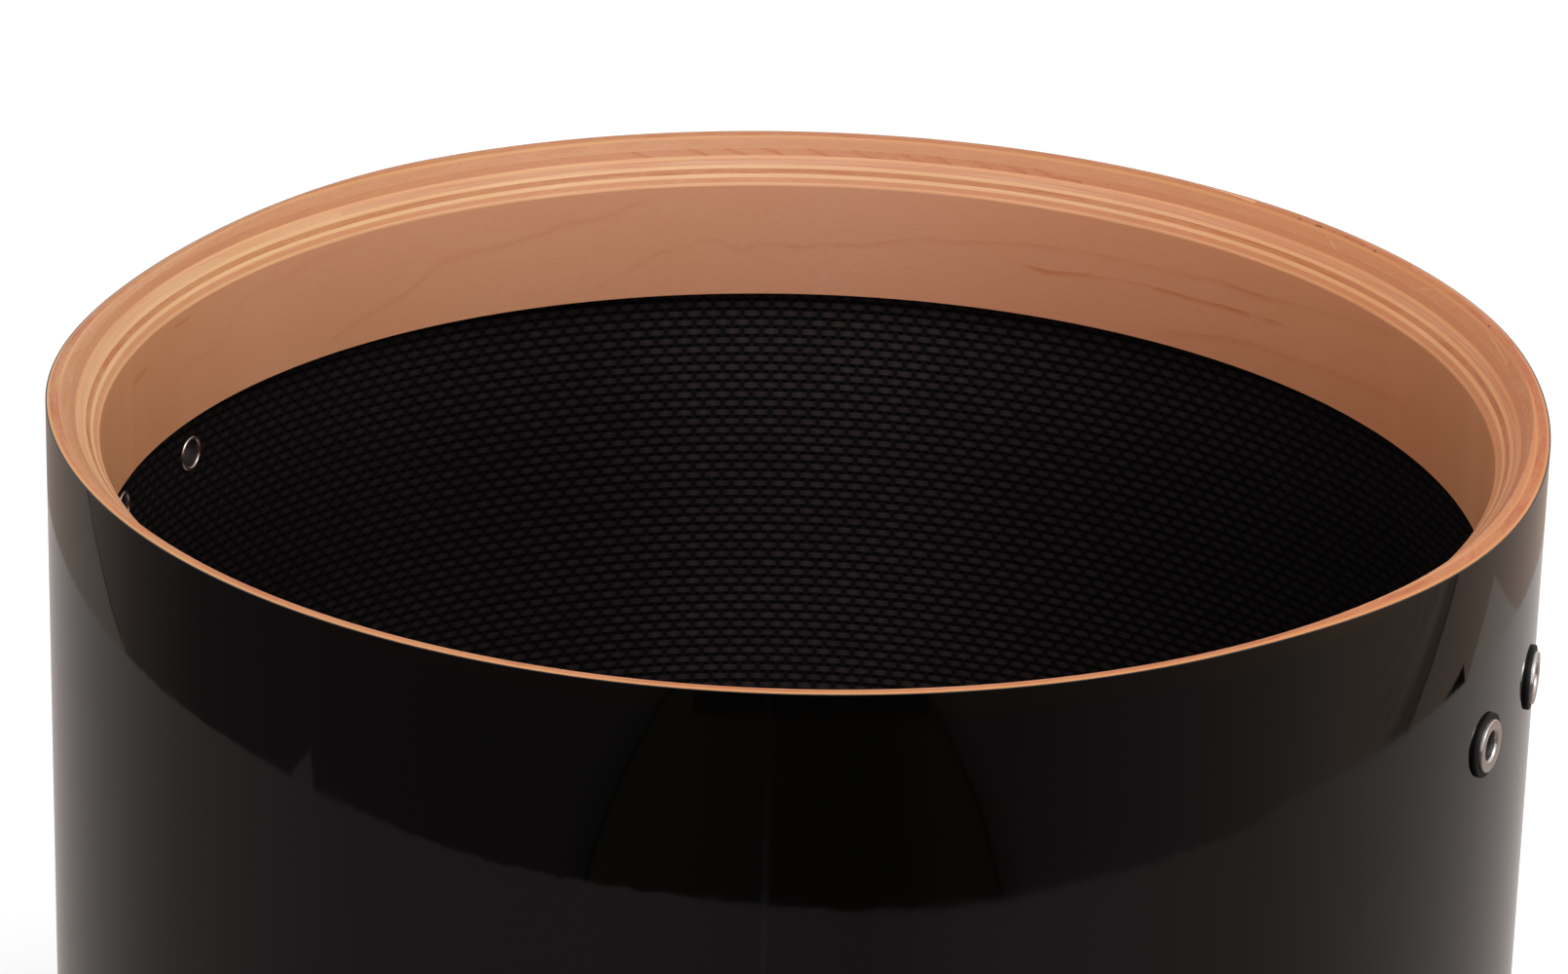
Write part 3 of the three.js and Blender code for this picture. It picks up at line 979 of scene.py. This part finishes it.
def mirrored_room(recipe, turn):
    """What the gloss shows of the room, laid out on the floor: a round table in dim light."""
    x, y, _ = recipe.split(recipe.place(-turn))
    reach = recipe.span(x, y)
    bearing = recipe.calc("ARCTAN2", x, y * -1) / FULL_TURN + 0.5
    table = recipe.ramp(bearing,
                        ((0.08, (0.55, 0.485, 0.468)), (0.24, (0.27, 0.25, 0.225)),
                         (0.33, (0.195, 0.172, 0.178)), (0.43, (0.225, 0.183, 0.196)),
                         (0.53, (0.17, 0.145, 0.155)), (0.57, (0.23, 0.20, 0.213)),
                         (0.68, (0.275, 0.25, 0.225)), (0.76, (0.42, 0.37, 0.335)),
                         (0.90, (0.62, 0.56, 0.54))))
    room = recipe.ramp(bearing,
                       ((0.17, (0.25, 0.20, 0.18)), (0.205, (0.15, 0.12, 0.105)),
                        (0.25, (0.078, 0.066, 0.064)), (0.42, (0.064, 0.052, 0.058)),
                        (0.58, (0.082, 0.072, 0.068)), (0.64, (0.140, 0.118, 0.124)),
                        (0.69, (0.22, 0.185, 0.165)), (0.72, (0.31, 0.248, 0.208)),
                        (0.80, (0.345, 0.258, 0.208)), (0.90, (0.50, 0.39, 0.33))))

    behind_left = x.scaled(-0.660, -0.652) * y.scaled(0.20, 0.24) * x.fade(-0.10, 0)
    room = recipe.mix(behind_left, room, (0.34, 0.275, 0.235))

    depth = recipe.most(-0.617 - y, 0)
    half = 0.310 - depth * depth * 2.3
    off = abs(x - 0.01) - half
    in_front = y.fade(-0.3, -0.2)
    centre = recipe.ramp(x * 1.6 + 0.5,
                         ((0.05, (0.050, 0.044, 0.028)), (0.40, (0.034, 0.028, 0.020)),
                          (0.50, (0.024, 0.019, 0.015)), (0.60, (0.019, 0.015, 0.008)),
                          (0.80, (0.023, 0.019, 0.009)), (0.88, (0.040, 0.034, 0.018))))
    room = recipe.mix(off.fade(-0.004, 0.001) * in_front, room, centre)

    right_of = recipe.most(x - 0.2, 0)
    to_foot = reach + right_of * right_of * 0.0434
    wall_foot = to_foot.scaled(0.8100, 0.8160)
    room = recipe.mix(wall_foot, room, recipe.mix(1.0, room, (1.25, 1.06, 0.88), "MULTIPLY"))
    gap = x.scaled(-0.182, -0.176) * x.fade(0.252, 0.258) * in_front
    room = recipe.mix(gap * wall_foot, room, (0.008, 0.003, 0.001))

    slope = (x - 0.688) * 0.949 - (y - 0.059) * 0.315
    right_side = y.scaled(-0.06, 0.0) * x.scaled(0.3, 0.4)
    fold = slope.scaled(-0.001, 0.001) * slope.fade(0.012, 0.032) * 0.45
    threads = recipe.noise((slope * 230, y * 9, 0.3), detail=3, roughness=0.65)
    streaked = slope.scaled(0.0, 0.004) * slope.fade(0.06, 0.10) * right_side
    room = recipe.mix(streaked * threads.scaled(0.46, 0.68, to_high=0.45), room,
                      (0.15, 0.115, 0.09))
    dark = recipe.most(abs(off).fade(0.0005, 0.0070) * in_front * 0.9,
                       off.scaled(-0.001, 0.001) * off.fade(0.004, 0.045) * in_front * 0.4,
                       abs(slope).fade(0.0005, 0.0045) * right_side * 0.75, fold * right_side,
                       abs(x + 0.655).fade(0.0004, 0.0040) * y.scaled(0.22, 0.26) * 0.6)
    room = recipe.mix(dark, room, (0.01, 0.008, 0.006))

    flap_side = x - y * 0.06 - 0.627
    flap_end = y + x * 0.582 - 0.760
    flap = (flap_side.fade(-0.001, 0.001) * flap_end.fade(-0.001, 0.001) * y.scaled(0.248, 0.250)
            * x.scaled(0.3, 0.4))
    room = recipe.mix(flap, room, (0.52, 0.44, 0.39))
    spike = ((x + y * 0.0875 - 0.6826).fade(-0.001, 0.001) * y.scaled(0.165, 0.169)
             * y.fade(0.245, 0.249) * x.scaled(0.3, 0.4))
    room = recipe.mix(spike, room, (0.008, 0.007, 0.006))
    corner = ((x - y * 0.195 + 0.608).scaled(-0.001, 0.001) * y.scaled(-0.274, -0.270)
              * y.fade(-0.232, -0.228) * x.fade(-0.3, -0.2))
    room = recipe.mix(corner, room, (0.20, 0.18, 0.175))

    hem = recipe.noise((bearing * 130, 0, 0), detail=3, roughness=0.6)
    sag = recipe.curve(x.share(-0.7, 0.7),
                       ((0, 0), (0.08, 0.15), (0.19, 0.35), (0.27, 0.35), (0.43, 0.43),
                        (0.515, 0.58), (0.60, 0.71), (0.68, 0.74), (0.77, 0.62), (0.87, 0.48),
                        (0.96, 0.40), (1, 0)))
    rim = reach - hem * 0.005 + sag * in_front * 0.020
    return recipe.mix(rim.scaled(0.6862, 0.6876), table, room)


def dress_floor(stage):
    """Pale floor that reads as white paper, keeps soft shadows and shows the gloss a dim room."""
    recipe = Recipe("studio_floor")
    mottle = recipe.noise(recipe.place(), scale=9, detail=3)
    paper = recipe.mix(mottle.scaled(0.3, 0.7, to_high=0.3), stage.floor, (0.78, 0.78, 0.78))
    recipe.finish(base_color=paper, roughness=0.9, specular_ior_level=0.0)
    rays = recipe.outputs("ShaderNodeLightPath", {})
    to_camera = Output(recipe, rays["Is Camera Ray"])
    to_gloss = Output(recipe, rays["Is Glossy Ray"])
    glow = recipe.add("ShaderNodeEmission", 0, {"Color": (1, 1, 1), "Strength": to_camera * 0.45})
    lit = recipe.add("ShaderNodeAddShader", 0, {0: Output(recipe, recipe.shader.outputs[0]),
                                                1: glow})
    mirrored = recipe.add("ShaderNodeEmission", 0, {"Color": mirrored_room(recipe, stage.turn)})
    seen = recipe.add("ShaderNodeMixShader", 0, {0: to_gloss, 1: lit, 2: mirrored})
    recipe.feed(recipe.tree.nodes["Material Output"].inputs["Surface"], seen)
    return recipe.material


# ---------------------------------------------------------------- pieces

def ply_radii(outer, thicknesses):
    radii = []
    for thickness in thicknesses:
        radii.append((outer - thickness, outer))
        outer -= thickness
    return radii


def wall_layer(name, inner, outer, sizes, fittings):
    """A full-height layer of the wall, with both edges, the beds and the four bores."""
    sheet = section_sheet(name, inner, outer, 0, sizes.height)
    cuts = edge_cuts(sizes)
    cut_profile(sheet, sizes.height, True, cuts)
    cut_profile(sheet, 0, False, cuts)
    turn_round(sheet, sizes.steps, bed_splits(sizes))
    add_rows(sheet, (fittings.height - BORE_FENCE, fittings.height + BORE_FENCE))
    file_snare_beds(sheet, sizes)
    drill(sheet, sizes, fittings)
    smooth(sheet)
    return sheet


class DRUM_OT_covering(Operator):
    """Wrap the gloss covering round the shell"""
    bl_idname = "drum_shell.covering"
    bl_label = "Gloss Covering"
    bl_options = {"REGISTER", "UNDO"}

    def execute(self, context):
        sizes, fittings = context.scene.drum_sizes, context.scene.drum_fittings
        skin = wall_layer("covering_skin", sizes.outer_radius - sizes.covering, sizes.outer_radius,
                          sizes, fittings)
        finish = dress_covering(context.scene.drum_finishes)
        hand_over(skin, finish, "outer_covering")
        return {"FINISHED"}


class DRUM_OT_shell_plies(Operator):
    """Lay up the six shell plies and cut them to the bearing edges"""
    bl_idname = "drum_shell.shell_plies"
    bl_label = "Shell Plies"
    bl_options = {"REGISTER", "UNDO"}

    def execute(self, context):
        sizes, fittings = context.scene.drum_sizes, context.scene.drum_fittings
        layers = ply_radii(sizes.outer_radius - sizes.covering, sizes.shell_plies)
        for number, ((inner, outer), look) in enumerate(zip(layers, SHELL_FINISHES), 1):
            ply = wall_layer(f"laminate_ply_{number}", inner, outer, sizes, fittings)
            finish = dress_veneer(f"shell_veneer_{number}", look, context.scene.drum_finishes,
                                  inner, outer, SEAM_ANGLE)
            hand_over(ply, finish, f"shell_ply_{number}")
        return {"FINISHED"}


class DRUM_OT_rings(Operator):
    """Glue a six-ply reinforcement ring inside each end of the shell"""
    bl_idname = "drum_shell.rings"
    bl_label = "Reinforcement Rings"
    bl_options = {"REGISTER", "UNDO"}

    def execute(self, context):
        sizes = context.scene.drum_sizes
        cuts = edge_cuts(sizes)
        layers = ply_radii(shell_inside(sizes), sizes.ring_plies)
        for number, ((inner, outer), look) in enumerate(zip(layers, RING_FINISHES), 1):
            finish = dress_veneer(f"ring_veneer_{number}", look, context.scene.drum_finishes,
                                  inner, outer, SEAM_ANGLE)
            for side in ("snare", "batter"):
                on_top = side == "snare"
                low = sizes.height - sizes.ring_height if on_top else 0
                sheet = section_sheet(f"{side}_side_ring_ply_{number}", inner, outer, low,
                                      low + sizes.ring_height)
                cut_profile(sheet, sizes.height if on_top else 0, on_top, cuts)
                turn_round(sheet, sizes.steps)
                smooth(sheet)
                hand_over(sheet, finish, f"{side}_ring_ply_{number}")
        return {"FINISHED"}


class DRUM_OT_liner(Operator):
    """Line the wall between the rings with woven cloth"""
    bl_idname = "drum_shell.liner"
    bl_label = "Woven Liner"
    bl_options = {"REGISTER", "UNDO"}

    def execute(self, context):
        sizes, fittings = context.scene.drum_sizes, context.scene.drum_fittings
        outer = shell_inside(sizes)
        end = sizes.ring_height + sizes.liner_gap
        liner = section_sheet("liner_cloth", outer - sizes.liner, outer, end, sizes.height - end)
        turn_round(liner, sizes.steps)
        add_rows(liner, (fittings.height - LINER_FENCE, *LINER_ROWS))
        drill(liner, sizes, fittings)
        smooth(liner)
        hand_over(liner, dress_liner(context.scene.drum_finishes), "inner_liner")
        return {"FINISHED"}


class DRUM_OT_washers(Operator):
    """Set a rubber washer on the covering at each bore"""
    bl_idname = "drum_shell.washers"
    bl_label = "Rubber Washers"
    bl_options = {"REGISTER", "UNDO"}

    def execute(self, context):
        sizes, fittings = context.scene.drum_sizes, context.scene.drum_fittings
        hole = fittings.bore + fittings.wall + fittings.clearance
        seat = sizes.outer_radius - WASHER_SINK
        top = sizes.outer_radius + fittings.washer_thickness
        washer = draw_fitting("washer", [(hole, seat), (fittings.washer, seat),
                                         (fittings.washer, top), (hole, top)])
        ease_corners(washer, fittings.washer_round, 3)
        self.seat_on_wall(washer, sizes)
        smooth(washer, 40)
        finish = dress_rubber(context.scene.drum_finishes)
        for name, turn in bore_angles(fittings, sizes.outer_radius).items():
            copy = set_in_wall(washer, f"rubber_washer_{name}", turn, fittings.height)
            hand_over(copy, finish, f"{name}_washer")
        bpy.data.objects.remove(washer)
        return {"FINISHED"}

    def seat_on_wall(self, washer, sizes):
        """Hollows the washer's underside to the round of the wall."""
        start_clean()
        bpy.ops.mesh.primitive_cylinder_add(vertices=sizes.steps, radius=sizes.outer_radius,
                                            depth=0.04)
        wall = bpy.context.object
        apply_place()
        only(washer)
        hollow = washer.modifiers.new("seat", "BOOLEAN")
        hollow.operation = "DIFFERENCE"
        hollow.solver = "EXACT"
        hollow.object = wall
        bpy.ops.object.modifier_apply(modifier=hollow.name)
        bpy.data.objects.remove(wall)


class DRUM_OT_bushings(Operator):
    """Rivet a flanged metal bushing through each bore and roll its lip over the liner"""
    bl_idname = "drum_shell.bushings"
    bl_label = "Bushings"
    bl_options = {"REGISTER", "UNDO"}

    def execute(self, context):
        sizes, fittings = context.scene.drum_sizes, context.scene.drum_fittings
        bore, tube = fittings.bore, fittings.bore + fittings.wall
        seat = sizes.outer_radius + fittings.washer_thickness
        face = seat + fittings.flange_thickness
        rim, flare = fittings.flange_round, fittings.flare
        liner_face = shell_inside(sizes) - sizes.liner
        lip = tube + fittings.lip_reach
        outline = [(fittings.flange, seat),
                   *arc((fittings.flange - rim, face - rim), (rim, rim), 0, 90, 5),
                   *arc((bore + flare, face - flare), (flare, flare), 90, 180, 8),
                   *arc(((bore + lip) / 2, liner_face), ((lip - bore) / 2, fittings.lip_rise),
                        180, 360, 12),
                   (tube, liner_face), (tube, seat)]
        bushing = draw_fitting("bushing", outline)
        smooth(bushing, 40)
        finish = dress_steel(context.scene.drum_finishes)
        for name, turn in bore_angles(fittings, sizes.outer_radius).items():
            copy = set_in_wall(bushing, f"metal_bushing_{name}", turn, fittings.height)
            hand_over(copy, finish, f"{name}_bushing")
        bpy.data.objects.remove(bushing)
        return {"FINISHED"}


class DRUM_OT_stage(Operator):
    """Lay the pale floor, hang the soft lamps and set up the camera"""
    bl_idname = "drum_shell.stage"
    bl_label = "Studio Stage"
    bl_options = {"REGISTER", "UNDO"}

    def execute(self, context):
        stage = context.scene.drum_stage
        self.floor(stage)
        self.sky(context, stage)
        self.lamps(stage)
        self.camera(context, stage)
        context.scene.view_settings.view_transform = "Standard"
        return {"FINISHED"}

    def floor(self, stage):
        start_clean()
        bpy.ops.mesh.primitive_plane_add(size=14, location=(0, 0, 0.0001))
        floor = bpy.context.object
        floor.name = "floor"
        apply_place()
        floor.data.materials.append(dress_floor(stage))

    def sky(self, context, stage):
        world = bpy.data.worlds.new("studio_sky")
        world.use_nodes = True
        nodes, links = world.node_tree.nodes, world.node_tree.links
        path = nodes.new("ShaderNodeLightPath")
        seen = nodes.new("ShaderNodeMath")
        seen.operation = "MAXIMUM"
        links.new(path.outputs["Is Camera Ray"], seen.inputs[0])
        links.new(path.outputs["Is Glossy Ray"], seen.inputs[1])
        level = nodes.new("ShaderNodeMapRange")
        links.new(seen.outputs[0], level.inputs["Value"])
        level.inputs["To Min"].default_value = stage.sky
        level.inputs["To Max"].default_value = 1.0
        links.new(level.outputs["Result"], nodes["Background"].inputs["Strength"])
        nodes["Background"].inputs["Color"].default_value = (1, 1, 1, 1)
        context.scene.world = world

    def lamps(self, stage):
        for name, (place, size, share) in LAMPS.items():
            start_clean()
            spot = Vector(place)
            spot.rotate(Euler((0, 0, stage.turn)))
            bpy.ops.object.light_add(type="AREA", location=spot)
            lamp = bpy.context.object
            lamp.name = name
            lamp.rotation_euler = (LAMP_AIM - spot).to_track_quat("-Z", "Y").to_euler()
            lamp.data.size = size
            lamp.data.energy = stage.key * share

    def camera(self, context, stage):
        start_clean()
        spot = Vector(CAMERA_PLACE)
        spot.rotate(Euler((0, 0, stage.turn)))
        tilt, roll, pan = CAMERA_ANGLES
        bpy.ops.object.camera_add(location=spot, rotation=(tilt, roll, pan + stage.turn))
        camera = bpy.context.object
        camera.name = "camera"
        camera.data.sensor_width = 36
        camera.data.lens = stage.lens * 1000
        camera.data.clip_start = 0.01
        context.scene.camera = camera


class DRUM_PT_shell(Panel):
    """Sizes, colours and steps of the drum shell"""
    bl_idname = "DRUM_PT_shell"
    bl_label = "Drum Shell"
    bl_space_type = "VIEW_3D"
    bl_region_type = "UI"
    bl_category = "Drum Shell"

    def draw(self, context):
        layout = self.layout
        for group in (context.scene.drum_sizes, context.scene.drum_fittings,
                      context.scene.drum_finishes, context.scene.drum_stage):
            box = layout.box()
            for name in group.bl_rna.properties.keys():
                if name not in ("rna_type", "name"):
                    box.prop(group, name)
        for step in STEPS:
            layout.operator(step.bl_idname)


GROUPS = {"drum_sizes": DrumShellSizes, "drum_fittings": DrumFittingSizes,
          "drum_finishes": DrumFinishes, "drum_stage": DrumStage}
STEPS = (DRUM_OT_covering, DRUM_OT_shell_plies, DRUM_OT_rings, DRUM_OT_liner, DRUM_OT_washers,
         DRUM_OT_bushings, DRUM_OT_stage)


def register():
    for group in GROUPS.values():
        bpy.utils.register_class(group)
    for name, group in GROUPS.items():
        setattr(bpy.types.Scene, name, PointerProperty(type=group))
    for step in (*STEPS, DRUM_PT_shell):
        bpy.utils.register_class(step)


def unregister():
    for step in reversed((*STEPS, DRUM_PT_shell)):
        bpy.utils.unregister_class(step)
    for name in GROUPS:
        delattr(bpy.types.Scene, name)
    for group in reversed(list(GROUPS.values())):
        bpy.utils.unregister_class(group)


def main():
    register()
    bpy.ops.drum_shell.covering()
    bpy.ops.drum_shell.shell_plies()
    bpy.ops.drum_shell.rings()
    bpy.ops.drum_shell.liner()
    bpy.ops.drum_shell.washers()
    bpy.ops.drum_shell.bushings()
    bpy.ops.drum_shell.stage()
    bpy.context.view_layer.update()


if __name__ == "__main__":
    main()
